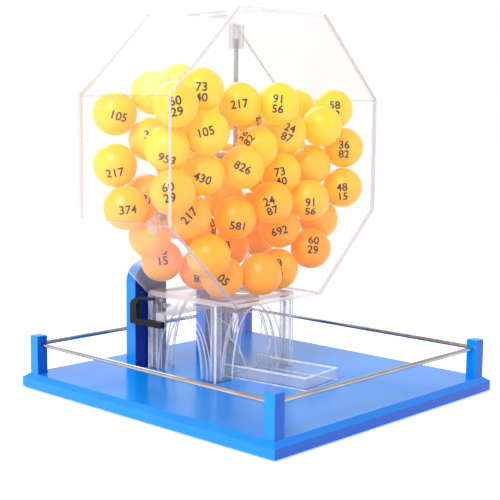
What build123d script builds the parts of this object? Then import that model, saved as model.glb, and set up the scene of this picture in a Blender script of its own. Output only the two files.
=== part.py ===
"""Clear octagonal lottery-ball machine on a blue railed base.

Millimetres, +Z up. Origin: middle of the base's footprint, on the table.
The drum's wide front looks along -Y, the crank is at the back (+Y).
"""
import math
import os

from build123d import *

os.makedirs("parts", exist_ok=True)

# ---------------------------------------------------------------- dimensions
# base
BASE_W = 310.0          # along X
BASE_D = 327.0          # along Y
FOOT_H = 1.5
BASE_TOP = 14.2
BEVEL_H = 4.1
BEVEL_W = 5.7
FOOT_R = 9.0
# corner posts and rails
POST = 11.7
POST_H = 36.7
POST_X = BASE_W / 2 - BEVEL_W - POST / 2
POST_Y = BASE_D / 2 - BEVEL_W - POST / 2
RAIL_R = 2.0
RAIL_Z = BASE_TOP + 28.2
RAIL_IN = 3.5           # how deep a rail sits in its post
# octagonal drum
T = 3.0                 # sheet thickness
OCT_HW = 140.0          # half width
OCT_HH = 133.25         # half height
OCT_TX = 58.0           # half of the top and bottom sides
OCT_TZ = 55.15          # half of the upright sides
OCT_Z = 222.7           # centre height
Y_FRONT = -31.0
Y_BACK = 92.5
MID_Y = 30.7            # plane that the stirrer turns in
OUT_Y = 30.5            # outlet centre
OUT_R = 24.0
THROAT_R = 21.5
# blue uprights behind the drum
UP_X = 47.5
UP_W = 41.0
UP_Y0 = 98.5
UP_T = 13.5
UP_TOP = 119.0
UP_BOLT_Z = 103.0
# clear stand under the drum
ST_X = 54.0
ST_Y0 = 1.5
ST_Y1 = 95.5
ST_T = 2.5
ST_TOP = 86.4
ARCH_FRONT_A = 31.3
ARCH_FRONT_H = 67.8
ARCH_SIDE_A = 34.2
ARCH_SIDE_H = 59.8
ARCH_SIDE_Y = 47.7
BAND_A = 24.7           # opening inside the recessed band of a side arch
BAND_H = 56.4
BAND_STEP = 1.5
PAD_T = 1.0
RIM = 2.6
RIM_T = 13.0            # how far an arch's moulded reveal reaches inwards
LEG = 7.0
# shutter under the outlet
SH_Z = 72.0
SH_T = 2.5
SH_HALF = 9.0           # half width of the plate's head
SH_Y0 = 15.3            # front end of the plate, clear of the front arch
HANDLE_X = -70.0
HANDLE_T = 5.0
# rotor
AXLE_R = 4.0
CRANK_R = 60.0
ROD_R = 2.1
CAP_R0 = 101.3
CAP_R1 = 123.8
# loose ball tray
TRAY_W = 54.0
TRAY_WALL = 2.0
TRAY_H = 12.4
TRAY_ANGLE = 7.0
TRAY_FRONT = (11.0, -73.0)
TRAY_L = 95.0
# filling hatch
HATCH = 25.0            # half opening
HATCH_Y = 30.7
HINGE_Y = 64.0
HINGE_Z = OCT_Z + OCT_HH + 2.55
# balls
BALL_R = 20.0
FRONT_BALLS = [
    (-114.0, -7.7, 270.4), (-69.2, 6.2, 283.5), (-110.9, 6.2, 232.6), (-75.4, -7.7, 246.1),
    (-20.4, 6.2, 271.8), (17.6, -7.7, 272.5), (44.9, 6.2, 246.1), (82.4, -7.7, 251.4),
    (116.6, 6.2, 267.9), (116.7, -7.7, 229.9), (116.7, -7.7, 189.5), (-116.7, -7.7, 195.1),
    (-67.5, 6.2, 209.0), (-29.9, -7.7, 214.2), (37.9, 6.2, 206.3), (82.7, 6.2, 212.9),
    (64.8, -7.7, 179.5), (-84.0, 6.2, 172.1), (-25.1, 6.2, 166.7), (10.4, -7.7, 180.1),
    (37.3, 6.2, 153.3), (95.9, 6.2, 157.8), (-72.8, -7.7, 135.8), (-42.0, 6.2, 112.8),
    (-4.1, -7.7, 112.8), (35.4, 6.2, 112.8), (68.4, -7.7, 131.6), (3.8, 6.2, 231.5),
]
BACK_BALLS = [
    (-116.7, 69.2, 262.0), (-86.7, 55.2, 238.7), (-116.7, 69.2, 215.5), (-116.7, 55.2, 177.6),
    (-79.9, 69.2, 186.9), (-87.4, 55.2, 149.7), (-59.9, 69.2, 123.5), (-84.1, 55.2, 281.4),
    (-40.4, 67.9, 290.0), (69.5, 69.2, 238.8), (116.0, 55.4, 268.5), (63.1, 55.2, 201.4),
    (9.6, 55.2, 178.8), (73.2, 69.2, 136.2), (19.5, 57.5, 131.0), (-23.6, 55.2, 112.8),
    (-54.2, 55.2, 214.7), (116.7, 64.8, 223.4), (-2.0, 57.3, 259.3), (47.3, 56.1, 164.3),
    (107.0, 69.0, 168.4), (-49.6, 55.2, 164.0), (38.2, 57.5, 263.6), (25.9, 68.2, 213.5),
    (-39.4, 69.2, 249.6), (-14.6, 69.2, 149.6), (-17.5, 69.2, 205.4),
]


def save(part, name):
    part.label = name
    export_step(part, "parts/" + name + ".step")


# ---------------------------------------------------------------- base board
with BuildPart() as base_board:
    with BuildSketch(Plane.XY.offset(FOOT_H)):
        Rectangle(BASE_W, BASE_D)
    extrude(amount=BASE_TOP - BEVEL_H - FOOT_H)
    with BuildSketch(Plane.XY.offset(BASE_TOP - BEVEL_H)):
        Rectangle(BASE_W, BASE_D)
    extrude(amount=BEVEL_H, taper=math.degrees(math.atan2(BEVEL_W, BEVEL_H)))
    fillet(base_board.edges().filter_by(Axis.Z), radius=1.2)
    # screw holes from below: posts and uprights
    with Locations(Plane.XY.offset(FOOT_H)):
        with Locations(*[(sx * POST_X, sy * POST_Y) for sx in (-1, 1) for sy in (-1, 1)]):
            Cylinder(2.2, 30, mode=Mode.SUBTRACT)
            Cylinder(4.3, 6.0, mode=Mode.SUBTRACT)
        with Locations(*[(sx * UP_X + dx, UP_Y0 + UP_T / 2) for sx in (-1, 1) for dx in (-10, 10)]):
            Cylinder(2.2, 30, mode=Mode.SUBTRACT)
            Cylinder(4.3, 6.0, mode=Mode.SUBTRACT)
        with Locations(*[(sx * (ST_X - ST_T - LEG / 2), y) for sx in (-1, 1)
                         for y in (ST_Y0 + ST_T + LEG / 2, ST_Y1 - ST_T - LEG / 2)]):
            Cylinder(1.7, 30, mode=Mode.SUBTRACT)
            Cylinder(3.3, 6.0, mode=Mode.SUBTRACT)
save(base_board.part, "base_board")

with BuildPart() as rubber_feet:
    with BuildSketch():
        with GridLocations(BASE_W - 44, BASE_D - 60, 2, 2):
            Circle(FOOT_R)
    extrude(amount=FOOT_H)
save(rubber_feet.part, "rubber_feet")

# ---------------------------------------------------------------- corner posts
POSTS = {"corner_post_front_left": (-1, -1), "corner_post_front_right": (1, -1),
         "corner_post_back_left": (-1, 1), "corner_post_back_right": (1, 1)}
for post_name, (sx, sy) in POSTS.items():
    with BuildPart() as post:
        with BuildSketch(Plane.XY.offset(BASE_TOP)):
            with Locations((sx * POST_X, sy * POST_Y)):
                Rectangle(POST, POST)
        extrude(amount=POST_H)
        fillet(post.edges().filter_by(Axis.Z), radius=0.7)
        chamfer(post.faces().sort_by(Axis.Z)[-1].edges(), length=0.6)
        # blind rail sockets
        with BuildSketch(Plane.YZ.offset(sx * (POST_X - POST / 2 - 1))):
            with Locations((sy * POST_Y, RAIL_Z)):
                Circle(RAIL_R + 0.03)
        extrude(amount=sx * (RAIL_IN + 1), mode=Mode.SUBTRACT)
        with BuildSketch(Plane.XZ.offset(-sy * (POST_Y - POST / 2 - 1))):
            with Locations((sx * POST_X, RAIL_Z)):
                Circle(RAIL_R + 0.03)
        extrude(amount=-sy * (RAIL_IN + 1), mode=Mode.SUBTRACT)
        # screw hole
        with BuildSketch(Plane.XY.offset(BASE_TOP)):
            with Locations((sx * POST_X, sy * POST_Y)):
                Circle(2.0)
        extrude(amount=15, mode=Mode.SUBTRACT)
    save(post.part, post_name)

with BuildPart() as post_screws:
    with BuildSketch(Plane.XY.offset(FOOT_H + 0.5)):
        with Locations(*[(sx * POST_X, sy * POST_Y) for sx in (-1, 1) for sy in (-1, 1)]):
            Circle(4.0)
    extrude(amount=2.5)
    with BuildSketch(Plane.XY.offset(FOOT_H + 2.9)):
        with Locations(*[(sx * POST_X, sy * POST_Y) for sx in (-1, 1) for sy in (-1, 1)]):
            Circle(1.98)
    extrude(amount=BASE_TOP + 14 - FOOT_H - 2.9)
save(post_screws.part, "post_screws")

# ---------------------------------------------------------------- rails
RX = POST_X - POST / 2 + RAIL_IN - 0.1
RY = POST_Y - POST / 2 + RAIL_IN - 0.1
for rail_name, sy in {"rail_front": -1, "rail_back": 1}.items():
    with BuildPart() as rail:
        with BuildSketch(Plane.YZ.offset(-RX)):
            with Locations((sy * POST_Y, RAIL_Z)):
                Circle(RAIL_R)
        extrude(amount=2 * RX)
    save(rail.part, rail_name)
for rail_name, sx in {"rail_left": -1, "rail_right": 1}.items():
    with BuildPart() as rail:
        with BuildSketch(Plane.XZ.offset(-RY)):
            with Locations((sx * POST_X, RAIL_Z)):
                Circle(RAIL_R)
        extrude(amount=2 * RY)
    save(rail.part, rail_name)

# ---------------------------------------------------------------- blue uprights
for up_name, sx in {"upright_left": -1, "upright_right": 1}.items():
    with BuildPart() as upright:
        with BuildSketch(Plane.XZ.offset(-UP_Y0)):
            with Locations((sx * UP_X, (BASE_TOP + UP_TOP - UP_W / 2) / 2)):
                Rectangle(UP_W, UP_TOP - UP_W / 2 - BASE_TOP)
            with Locations((sx * UP_X, UP_TOP - UP_W / 2)):
                Circle(UP_W / 2)
        extrude(amount=-UP_T)
        fillet(upright.faces().sort_by(Axis.Y)[0].edges().filter_by(lambda e: e.center().Z > BASE_TOP + 1), radius=0.8)
        with BuildSketch(Plane.XZ.offset(-UP_Y0 + 1)):
            with Locations((sx * UP_X, UP_BOLT_Z)):
                Circle(2.6)
        extrude(amount=-UP_T - 2, mode=Mode.SUBTRACT)
        with BuildSketch(Plane.XY.offset(BASE_TOP)):
            with Locations(*[(sx * UP_X + dx, UP_Y0 + UP_T / 2) for dx in (-10, 10)]):
                Circle(2.0)
        extrude(amount=15, mode=Mode.SUBTRACT)
    save(upright.part, up_name)

with BuildPart() as upright_screws:
    with BuildSketch(Plane.XY.offset(FOOT_H + 0.5)):
        with Locations(*[(sx * UP_X + dx, UP_Y0 + UP_T / 2) for sx in (-1, 1) for dx in (-10, 10)]):
            Circle(4.0)
    extrude(amount=2.5)
    with BuildSketch(Plane.XY.offset(FOOT_H + 2.9)):
        with Locations(*[(sx * UP_X + dx, UP_Y0 + UP_T / 2) for sx in (-1, 1) for dx in (-10, 10)]):
            Circle(1.98)
    extrude(amount=BASE_TOP + 14 - FOOT_H - 2.9)
save(upright_screws.part, "upright_screws")

with BuildPart() as drum_spacers:
    with BuildSketch(Plane.XZ.offset(-Y_BACK)):
        with Locations((-UP_X, UP_BOLT_Z), (UP_X, UP_BOLT_Z)):
            Circle(6.0)
            Circle(2.6, mode=Mode.SUBTRACT)
    extrude(amount=-(UP_Y0 - Y_BACK))
save(drum_spacers.part, "drum_spacers")

with BuildPart() as drum_bolts:
    with BuildSketch(Plane.XZ.offset(-(Y_BACK - T))):
        with Locations((-UP_X, UP_BOLT_Z), (UP_X, UP_BOLT_Z)):
            Circle(2.5)
    extrude(amount=-(UP_Y0 + UP_T - Y_BACK + T + 0.1))
    with BuildSketch(Plane.XZ.offset(-(UP_Y0 + UP_T))):
        with Locations((-UP_X, UP_BOLT_Z), (UP_X, UP_BOLT_Z)):
            Circle(4.5)
    extrude(amount=-3.5)
    fillet(drum_bolts.faces().sort_by(Axis.Y)[-2:].edges(), radius=1.2)
save(drum_bolts.part, "drum_bolts")

# ---------------------------------------------------------------- drum panels
OUTER = [(OCT_TX, OCT_HH), (OCT_HW, OCT_TZ), (OCT_HW, -OCT_TZ), (OCT_TX, -OCT_HH),
         (-OCT_TX, -OCT_HH), (-OCT_HW, -OCT_TZ), (-OCT_HW, OCT_TZ), (-OCT_TX, OCT_HH)]
SL = math.hypot(OCT_HW - OCT_TX, OCT_HH - OCT_TZ)
NX = (OCT_HH - OCT_TZ) / SL
NZ = (OCT_HW - OCT_TX) / SL
DI = OCT_TX * NX + OCT_HH * NZ - T
IN_TX = (DI - (OCT_HH - T) * NZ) / NX
IN_TZ = (DI - (OCT_HW - T) * NX) / NZ
INNER = [(IN_TX, OCT_HH - T), (OCT_HW - T, IN_TZ), (OCT_HW - T, -IN_TZ), (IN_TX, -OCT_HH + T),
         (-IN_TX, -OCT_HH + T), (-OCT_HW + T, -IN_TZ), (-OCT_HW + T, IN_TZ), (-IN_TX, OCT_HH - T)]


def lift(points):
    return [(x, z + OCT_Z) for x, z in points]


with BuildPart() as drum_front_panel:
    with BuildSketch(Plane.XZ.offset(-Y_FRONT)):
        Polygon(*lift(OUTER), align=None)
    extrude(amount=-T)
save(drum_front_panel.part, "drum_front_panel")

SCREWS_PCD = 13.5
with BuildPart() as drum_back_panel:
    with BuildSketch(Plane.XZ.offset(-(Y_BACK - T))):
        Polygon(*lift(OUTER), align=None)
        with Locations((-UP_X, UP_BOLT_Z), (UP_X, UP_BOLT_Z)):
            Circle(2.5, mode=Mode.SUBTRACT)
        with Locations((0, OCT_Z)):
            Circle(6.55, mode=Mode.SUBTRACT)
            with PolarLocations(SCREWS_PCD, 4, start_angle=45):
                Circle(1.5, mode=Mode.SUBTRACT)
    extrude(amount=-T)
save(drum_back_panel.part, "drum_back_panel")

WALLS = ["drum_wall_upper_right", "drum_wall_right", "drum_wall_lower_right", "drum_wall_bottom",
         "drum_wall_lower_left", "drum_wall_left", "drum_wall_upper_left", "drum_wall_top"]
for i, wall_name in enumerate(WALLS):
    j = (i + 1) % 8
    with BuildPart() as wall:
        with BuildSketch(Plane.XZ.offset(-(Y_FRONT + T))):
            Polygon(*lift([OUTER[i], OUTER[j], INNER[j], INNER[i]]), align=None)
        extrude(amount=-(Y_BACK - Y_FRONT - 2 * T))
        if wall_name == "drum_wall_bottom":
            with BuildSketch(Plane.XY.offset(OCT_Z - OCT_HH - 1)):
                with Locations((0, OUT_Y)):
                    Circle(OUT_R)
            extrude(amount=T + 2, mode=Mode.SUBTRACT)
        if wall_name == "drum_wall_top":
            with BuildSketch(Plane.XY.offset(OCT_Z + OCT_HH - T - 1)):
                with Locations((0, HATCH_Y)):
                    RectangleRounded(2 * HATCH, 2 * HATCH, 3)
            extrude(amount=T + 2, mode=Mode.SUBTRACT)
    save(wall.part, wall_name)

# ---------------------------------------------------------------- clear stand
BOSSES = [(80.0, 82.6), (69.0, 79.5)]
for panel_name, y0, s in (("stand_front_panel", ST_Y0, 1), ("stand_back_panel", ST_Y1, -1)):
    with BuildPart() as panel:
        with BuildSketch(Plane.XZ.offset(-y0)):
            with Locations((0, (BASE_TOP + ST_TOP) / 2)):
                Rectangle(2 * ST_X, ST_TOP - BASE_TOP)
            with Locations((0, BASE_TOP)):
                Ellipse(ARCH_FRONT_A, ARCH_FRONT_H, mode=Mode.SUBTRACT)
        extrude(amount=-s * ST_T)
        with BuildSketch(Plane.XZ.offset(-y0)):
            with Locations((0, BASE_TOP)):
                Ellipse(ARCH_FRONT_A + RIM, ARCH_FRONT_H + RIM)
                Ellipse(ARCH_FRONT_A, ARCH_FRONT_H, mode=Mode.SUBTRACT)
            with Locations((0, BASE_TOP - 100)):
                Rectangle(200, 200, mode=Mode.SUBTRACT)
        extrude(amount=-s * RIM_T)
        if s == 1:
            # relief round the outlet throat
            with BuildSketch(Plane.XY.offset(60)):
                with Locations((0, OUT_Y)):
                    Circle(OUT_R + 0.2)
            extrude(amount=40, mode=Mode.SUBTRACT)
    save(panel.part, panel_name)

for panel_name, s in (("stand_left_panel", -1), ("stand_right_panel", 1)):
    with BuildPart() as panel:
        with BuildSketch(Plane.YZ.offset(s * ST_X)):
            with Locations(((ST_Y0 + ST_Y1) / 2, (BASE_TOP + ST_TOP) / 2)):
                Rectangle(ST_Y1 - ST_Y0 - 2 * ST_T, ST_TOP - BASE_TOP)
            with Locations((ARCH_SIDE_Y, BASE_TOP)):
                Ellipse(ARCH_SIDE_A, ARCH_SIDE_H, mode=Mode.SUBTRACT)
        extrude(amount=-s * ST_T)
        # recessed band inside the arch
        with BuildSketch(Plane.YZ.offset(s * (ST_X - BAND_STEP))):
            with Locations((ARCH_SIDE_Y, BASE_TOP)):
                Ellipse(ARCH_SIDE_A + 1.8, ARCH_SIDE_H + 1.8)
                Ellipse(BAND_A, BAND_H, mode=Mode.SUBTRACT)
            with Locations((ARCH_SIDE_Y, BASE_TOP - 100)):
                Rectangle(200, 200, mode=Mode.SUBTRACT)
        extrude(amount=-s * ST_T)
        if s == -1:
            # raised pad for the two bosses, and the slot for the shutter
            with BuildSketch(Plane.YZ.offset(-ST_X)):
                with Locations((78.8, 76.4)):
                    RectangleRounded(27.6, 19.6, 2.5)
            extrude(amount=-PAD_T)
            with BuildSketch(Plane.YZ.offset(-ST_X - PAD_T)):
                with Locations(*BOSSES):
                    Circle(1.5)
            extrude(amount=ST_T + PAD_T, mode=Mode.SUBTRACT)
            with BuildSketch(Plane.YZ.offset(-ST_X - PAD_T - 0.5)):
                with Locations((61, SH_Z + SH_T / 2)):
                    Rectangle(11, SH_T + 0.8)
            extrude(amount=8, mode=Mode.SUBTRACT)
    save(panel.part, panel_name)

LEG_X = ST_X - ST_T - LEG / 2
LEG_Y = (ST_Y0 + ST_T + LEG / 2, ST_Y1 - ST_T - LEG / 2)
LEGS = [(sx * LEG_X, y) for sx in (-1, 1) for y in LEG_Y]
with BuildPart() as stand_legs:
    with BuildSketch(Plane.XY.offset(BASE_TOP)):
        with Locations(*LEGS):
            Rectangle(LEG, LEG)
            Circle(1.5, mode=Mode.SUBTRACT)
    extrude(amount=ST_TOP - BASE_TOP)
save(stand_legs.part, "stand_legs")

with BuildPart() as stand_top_plate:
    with BuildSketch(Plane.XY.offset(ST_TOP)):
        with Locations((0, (ST_Y0 + ST_Y1) / 2)):
            Rectangle(2 * ST_X, ST_Y1 - ST_Y0)
        with Locations((0, OUT_Y)):
            Circle(OUT_R, mode=Mode.SUBTRACT)
        with Locations(*LEGS):
            Circle(1.7, mode=Mode.SUBTRACT)
    extrude(amount=OCT_Z - OCT_HH - ST_TOP)
    with BuildSketch(Plane.XY.offset(OCT_Z - OCT_HH)):
        with Locations(*LEGS):
            Circle(3.2)
    extrude(amount=-1.8, mode=Mode.SUBTRACT)
save(stand_top_plate.part, "stand_top_plate")

with BuildPart() as stand_screws:
    with BuildSketch(Plane.XY.offset(ST_TOP - 12)):
        with Locations(*LEGS):
            Circle(1.45)
    extrude(amount=12 + 1.4)
    with BuildSketch(Plane.XY.offset(OCT_Z - OCT_HH - 1.8)):
        with Locations(*LEGS):
            Circle(3.0)
    extrude(amount=1.6)
    with BuildSketch(Plane.XY.offset(FOOT_H + 0.5)):
        with Locations(*LEGS):
            Circle(3.0)
    extrude(amount=2.2)
    with BuildSketch(Plane.XY.offset(FOOT_H + 2.6)):
        with Locations(*LEGS):
            Circle(1.45)
    extrude(amount=BASE_TOP + 12 - FOOT_H - 2.6)
    with BuildSketch(Plane.YZ.offset(-ST_X - PAD_T)):
        with Locations(*BOSSES):
            Circle(2.6)
    extrude(amount=-1.6)
    with BuildSketch(Plane.YZ.offset(-ST_X - PAD_T)):
        with Locations(*BOSSES):
            Circle(1.45)
    extrude(amount=ST_T + PAD_T + 1.5)
save(stand_screws.part, "stand_screws")

# ---------------------------------------------------------------- outlet
with BuildPart() as outlet_throat:
    with BuildSketch(Plane.XY.offset(SH_Z + SH_T + 0.8)):
        with Locations((0, OUT_Y)):
            Circle(OUT_R - 0.05)
            Circle(THROAT_R, mode=Mode.SUBTRACT)
    extrude(amount=OCT_Z - OCT_HH + T - (SH_Z + SH_T + 0.8))
save(outlet_throat.part, "outlet_throat")

# V-shaped chute that leads a ball forwards
RAMP_DEG = 20.0
ramp_plane = Plane(origin=(0, 8, 20), x_dir=(1, 0, 0),
                   z_dir=(0, -math.cos(math.radians(RAMP_DEG)), -math.sin(math.radians(RAMP_DEG))))
with BuildPart() as chute_ramp:
    with BuildSketch(ramp_plane):
        with BuildLine():
            Polyline((-7, 0), (-22, 20), (-23.8, 38), (-21.8, 38), (-20.0, 20.6), (-6.2, 2), (6.2, 2), (20.0, 20.6),
                     (21.8, 38), (23.8, 38), (22, 20), (7, 0), (-7, 0))
        make_face()
    extrude(amount=-46)
    # end stop behind the outlet
    with BuildSketch(Plane(origin=ramp_plane.origin - ramp_plane.z_dir * 44, x_dir=(1, 0, 0),
                           z_dir=ramp_plane.z_dir)):
        with BuildLine():
            Polyline((-7, 0), (-22, 20), (-23.8, 38), (23.8, 38), (22, 20), (7, 0), (-7, 0))
        make_face()
    extrude(amount=-2)
    # a cheek under each side carries the chute on the base
    for s in (-1, 1):
        with BuildSketch(Plane.YZ.offset(s * 10.0)):
            Polygon((27, BASE_TOP), (47, BASE_TOP), (47, 41.0), (27, 33.5), align=None)
        extrude(amount=s * 2.5)
        with BuildSketch(Plane.XY.offset(BASE_TOP)):
            with Locations((s * 14.0, 37)):
                Rectangle(8, 20)
        extrude(amount=2.0)
    with BuildSketch(Plane.XY.offset(SH_Z - 1.5)):
        Rectangle(300, 300)
    extrude(amount=60, mode=Mode.SUBTRACT)
    with BuildSketch(Plane.XZ.offset(-2.5)):
        with Locations((0, 60)):
            Rectangle(200, 200)
    extrude(amount=40, mode=Mode.SUBTRACT)
    # front corners of the sides cut back inside the front arch
    with BuildSketch(Plane.YZ.offset(-40)):
        Polygon((-10, 42), (14.9, 50), (14.9, 90), (-10, 90), align=None)
    extrude(amount=80, mode=Mode.SUBTRACT)
save(chute_ramp.part, "chute_ramp")

# channel that carries the shutter plate, between the side panels
GX = ST_X - ST_T
GY0, GY1 = 66.0, ST_Y1 - RIM_T
with BuildPart() as shutter_guide:
    with BuildSketch(Plane.YZ.offset(-GX)):
        with BuildLine():
            Polyline((GY0, SH_Z - 3.2), (GY1, SH_Z - 3.2), (GY1, SH_Z + SH_T + 3.2), (GY0, SH_Z + SH_T + 3.2),
                     (GY0, SH_Z + SH_T + 0.2), (GY1 - 2, SH_Z + SH_T + 0.2), (GY1 - 2, SH_Z - 0.2),
                     (GY0, SH_Z - 0.2), (GY0, SH_Z - 3.2))
        make_face()
    extrude(amount=2 * GX)
    for x0, x1 in ((SH_HALF + 0.6, SH_HALF + 5.0),):
        with BuildSketch(Plane.XY.offset(SH_Z - 1)):
            with Locations(((x0 + x1) / 2, (GY0 + GY1) / 2)):
                Rectangle(x1 - x0, GY1 - GY0)
        extrude(amount=SH_T + 2)
save(shutter_guide.part, "shutter_guide")

# ---------------------------------------------------------------- shutter
with BuildPart() as shutter_plate:
    with BuildSketch(Plane.XY.offset(SH_Z)):
        with Locations((0, (SH_Y0 + GY1 - 3) / 2)):
            Rectangle(2 * SH_HALF, GY1 - 3 - SH_Y0)
        with Locations(((HANDLE_X - SH_HALF) / 2, 61)):
            Rectangle(-HANDLE_X - SH_HALF, 10)
    extrude(amount=SH_T)
    fillet(shutter_plate.edges().filter_by(Axis.Z).sort_by(Axis.Y)[:2], radius=4)
    # turned-down end that the handle is bonded to
    with BuildSketch(Plane.YZ.offset(HANDLE_X)):
        with Locations((61, (61.2 + SH_Z + SH_T) / 2)):
            Rectangle(10, SH_Z + SH_T - 61.2)
    extrude(amount=2.5)
save(shutter_plate.part, "shutter_plate")

# C-shaped handle beside the stand: thick lower arm, upright and thin curved top
with BuildPart() as shutter_handle:
    with BuildSketch(Plane.YZ.offset(HANDLE_X)):
        with Locations((76.3, 64.1)):
            RectangleRounded(44.4, 6.0, 1.5)
        with Locations((93.9, 70)):
            RectangleRounded(9.2, 17.8, 2)
        with BuildLine():
            Spline((98.4, 76), (97.4, 82.0), (92.0, 86.2), (82, 88.3), (66.6, 88.9))
            Line((66.6, 88.9), (66.6, 87.1))
            Spline((66.6, 87.1), (80, 86.2), (86.5, 84.4), (89.2, 81.0), (89.4, 76))
            Line((89.4, 76), (98.4, 76))
        make_face()
    extrude(amount=-HANDLE_T)
save(shutter_handle.part, "shutter_handle")

# ---------------------------------------------------------------- ball tray
TC = (TRAY_FRONT[0], TRAY_FRONT[1])
ta = math.radians(TRAY_ANGLE)
tray_plane = Plane(origin=(TC[0], TC[1], BASE_TOP), x_dir=(math.cos(ta), math.sin(ta), 0), z_dir=(0, 0, 1))
with BuildPart() as ball_tray:
    with BuildSketch(tray_plane):
        with Locations((0, TRAY_L / 2)):
            Rectangle(TRAY_W, TRAY_L)
    extrude(amount=TRAY_WALL)
    with BuildSketch(tray_plane):
        with Locations((-TRAY_W / 2 + TRAY_WALL / 2, TRAY_L / 2), (TRAY_W / 2 - TRAY_WALL / 2, TRAY_L / 2)):
            Rectangle(TRAY_WALL, TRAY_L)
        with Locations((0, TRAY_WALL / 2)):
            Rectangle(TRAY_W, TRAY_WALL)
    extrude(amount=TRAY_H)
save(ball_tray.part, "ball_tray")

# ---------------------------------------------------------------- bearing
with BuildPart() as bearing_flange:
    with BuildSketch(Plane.XZ.offset(-Y_BACK)):
        with Locations((0, OCT_Z)):
            Circle(18)
            Circle(6.5, mode=Mode.SUBTRACT)
            with PolarLocations(SCREWS_PCD, 4, start_angle=45):
                Circle(1.55, mode=Mode.SUBTRACT)
    extrude(amount=-4)
    chamfer(bearing_flange.faces().sort_by(Axis.Y)[-1].edges().filter_by(lambda e: e.length > 80), length=0.8)
save(bearing_flange.part, "bearing_flange")

with BuildPart() as bearing_bush:
    with BuildSketch(Plane.XZ.offset(-(Y_BACK - T))):
        with Locations((0, OCT_Z)):
            Circle(6.5)
            Circle(AXLE_R + 0.05, mode=Mode.SUBTRACT)
    extrude(amount=-9)
save(bearing_bush.part, "bearing_bush")

with BuildPart() as bearing_screws:
    with BuildSketch(Plane.XZ.offset(-(Y_BACK - T))):
        with Locations((0, OCT_Z)):
            with PolarLocations(SCREWS_PCD, 4, start_angle=45):
                Circle(1.45)
    extrude(amount=-(T + 4.1))
    with BuildSketch(Plane.XZ.offset(-(Y_BACK + 4))):
        with Locations((0, OCT_Z)):
            with PolarLocations(SCREWS_PCD, 4, start_angle=45):
                Circle(2.7)
    extrude(amount=-1.8)
save(bearing_screws.part, "bearing_screws")

# ---------------------------------------------------------------- rotor
AX_Y0 = MID_Y - 4.3
with BuildPart() as stirrer_axle:
    with BuildSketch(Plane.XZ.offset(-AX_Y0)):
        with Locations((0, OCT_Z)):
            Circle(AXLE_R)
    extrude(amount=-(119 - AX_Y0))
save(stirrer_axle.part, "stirrer_axle")

ARMS = [90.0, 210.0, 330.0]
arm_planes = [Plane(origin=(0, MID_Y, OCT_Z), x_dir=(-math.sin(math.radians(a)), 0, math.cos(math.radians(a))),
                    z_dir=(math.cos(math.radians(a)), 0, math.sin(math.radians(a)))) for a in ARMS]
with BuildPart() as stirrer_hub:
    with BuildSketch(Plane.XZ.offset(-AX_Y0)):
        with Locations((0, OCT_Z)):
            Circle(10)
            Circle(AXLE_R, mode=Mode.SUBTRACT)
    extrude(amount=-8.6)
    for pl in arm_planes:
        with BuildSketch(pl.offset(5.0)):
            Circle(ROD_R)
        extrude(amount=8, mode=Mode.SUBTRACT)
save(stirrer_hub.part, "stirrer_hub")

with BuildPart() as stirrer_rods:
    for pl in arm_planes:
        with BuildSketch(pl.offset(5.0)):
            Circle(ROD_R)
        extrude(amount=CAP_R0 + 9 - 5.0)
save(stirrer_rods.part, "stirrer_rods")

with BuildPart() as stirrer_paddles:
    for pl in arm_planes:
        with BuildSketch(pl.offset(CAP_R0)):
            RectangleRounded(14, 8, 1.5)
        extrude(amount=CAP_R1 - CAP_R0)
        with BuildSketch(pl.offset(CAP_R0)):
            Circle(ROD_R)
        extrude(amount=9.0, mode=Mode.SUBTRACT)
save(stirrer_paddles.part, "stirrer_paddles")

with BuildPart() as shaft_collars:
    with BuildSketch(Plane.XZ.offset(-(Y_BACK - T - 4.5))):
        with Locations((0, OCT_Z)):
            Circle(8)
            Circle(AXLE_R, mode=Mode.SUBTRACT)
    extrude(amount=-4)
    with BuildSketch(Plane.XZ.offset(-99.0)):
        with Locations((0, OCT_Z)):
            Circle(9)
            Circle(AXLE_R, mode=Mode.SUBTRACT)
    extrude(amount=-6)
save(shaft_collars.part, "shaft_collars")

with BuildPart() as crank_arm:
    with BuildSketch(Plane.XZ.offset(-110.0)):
        with Locations((0, OCT_Z - CRANK_R / 2)):
            Rectangle(12, CRANK_R)
        with Locations((0, OCT_Z)):
            Circle(10)
        with Locations((0, OCT_Z - CRANK_R)):
            Circle(8)
        with Locations((0, OCT_Z)):
            Circle(AXLE_R, mode=Mode.SUBTRACT)
        with Locations((0, OCT_Z - CRANK_R)):
            Circle(3.0, mode=Mode.SUBTRACT)
    extrude(amount=-8)
save(crank_arm.part, "crank_arm")

with BuildPart() as crank_pin:
    with BuildSketch(Plane.XZ.offset(-110.0)):
        with Locations((0, OCT_Z - CRANK_R)):
            Circle(3.0)
    extrude(amount=-35)
    with BuildSketch(Plane.XZ.offset(-145.0)):
        with Locations((0, OCT_Z - CRANK_R)):
            Circle(4.5)
    extrude(amount=-1.6)
save(crank_pin.part, "crank_pin")

with BuildPart() as crank_cap_nut:
    with BuildSketch(Plane.XZ.offset(-119.0)):
        with Locations((0, OCT_Z)):
            RegularPolygon(6.5, 6)
    extrude(amount=-3.5)
save(crank_cap_nut.part, "crank_cap_nut")

with BuildPart() as crank_knob:
    with BuildSketch(Plane.YZ):
        with BuildLine():
            k0 = OCT_Z - CRANK_R
            Polyline((118.6, k0 + 3.05), (118.6, k0 + 7.0), (121, k0 + 8.6))
            Spline((121, k0 + 8.6), (128, k0 + 9.6), (136, k0 + 11.2), (142.5, k0 + 9.5), (144.6, k0 + 6.0))
            Polyline((144.6, k0 + 6.0), (144.6, k0 + 3.05), (118.6, k0 + 3.05))
        make_face()
    revolve(axis=Axis((0, 0, OCT_Z - CRANK_R), (0, 1, 0)))
save(crank_knob.part, "crank_knob")

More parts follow.
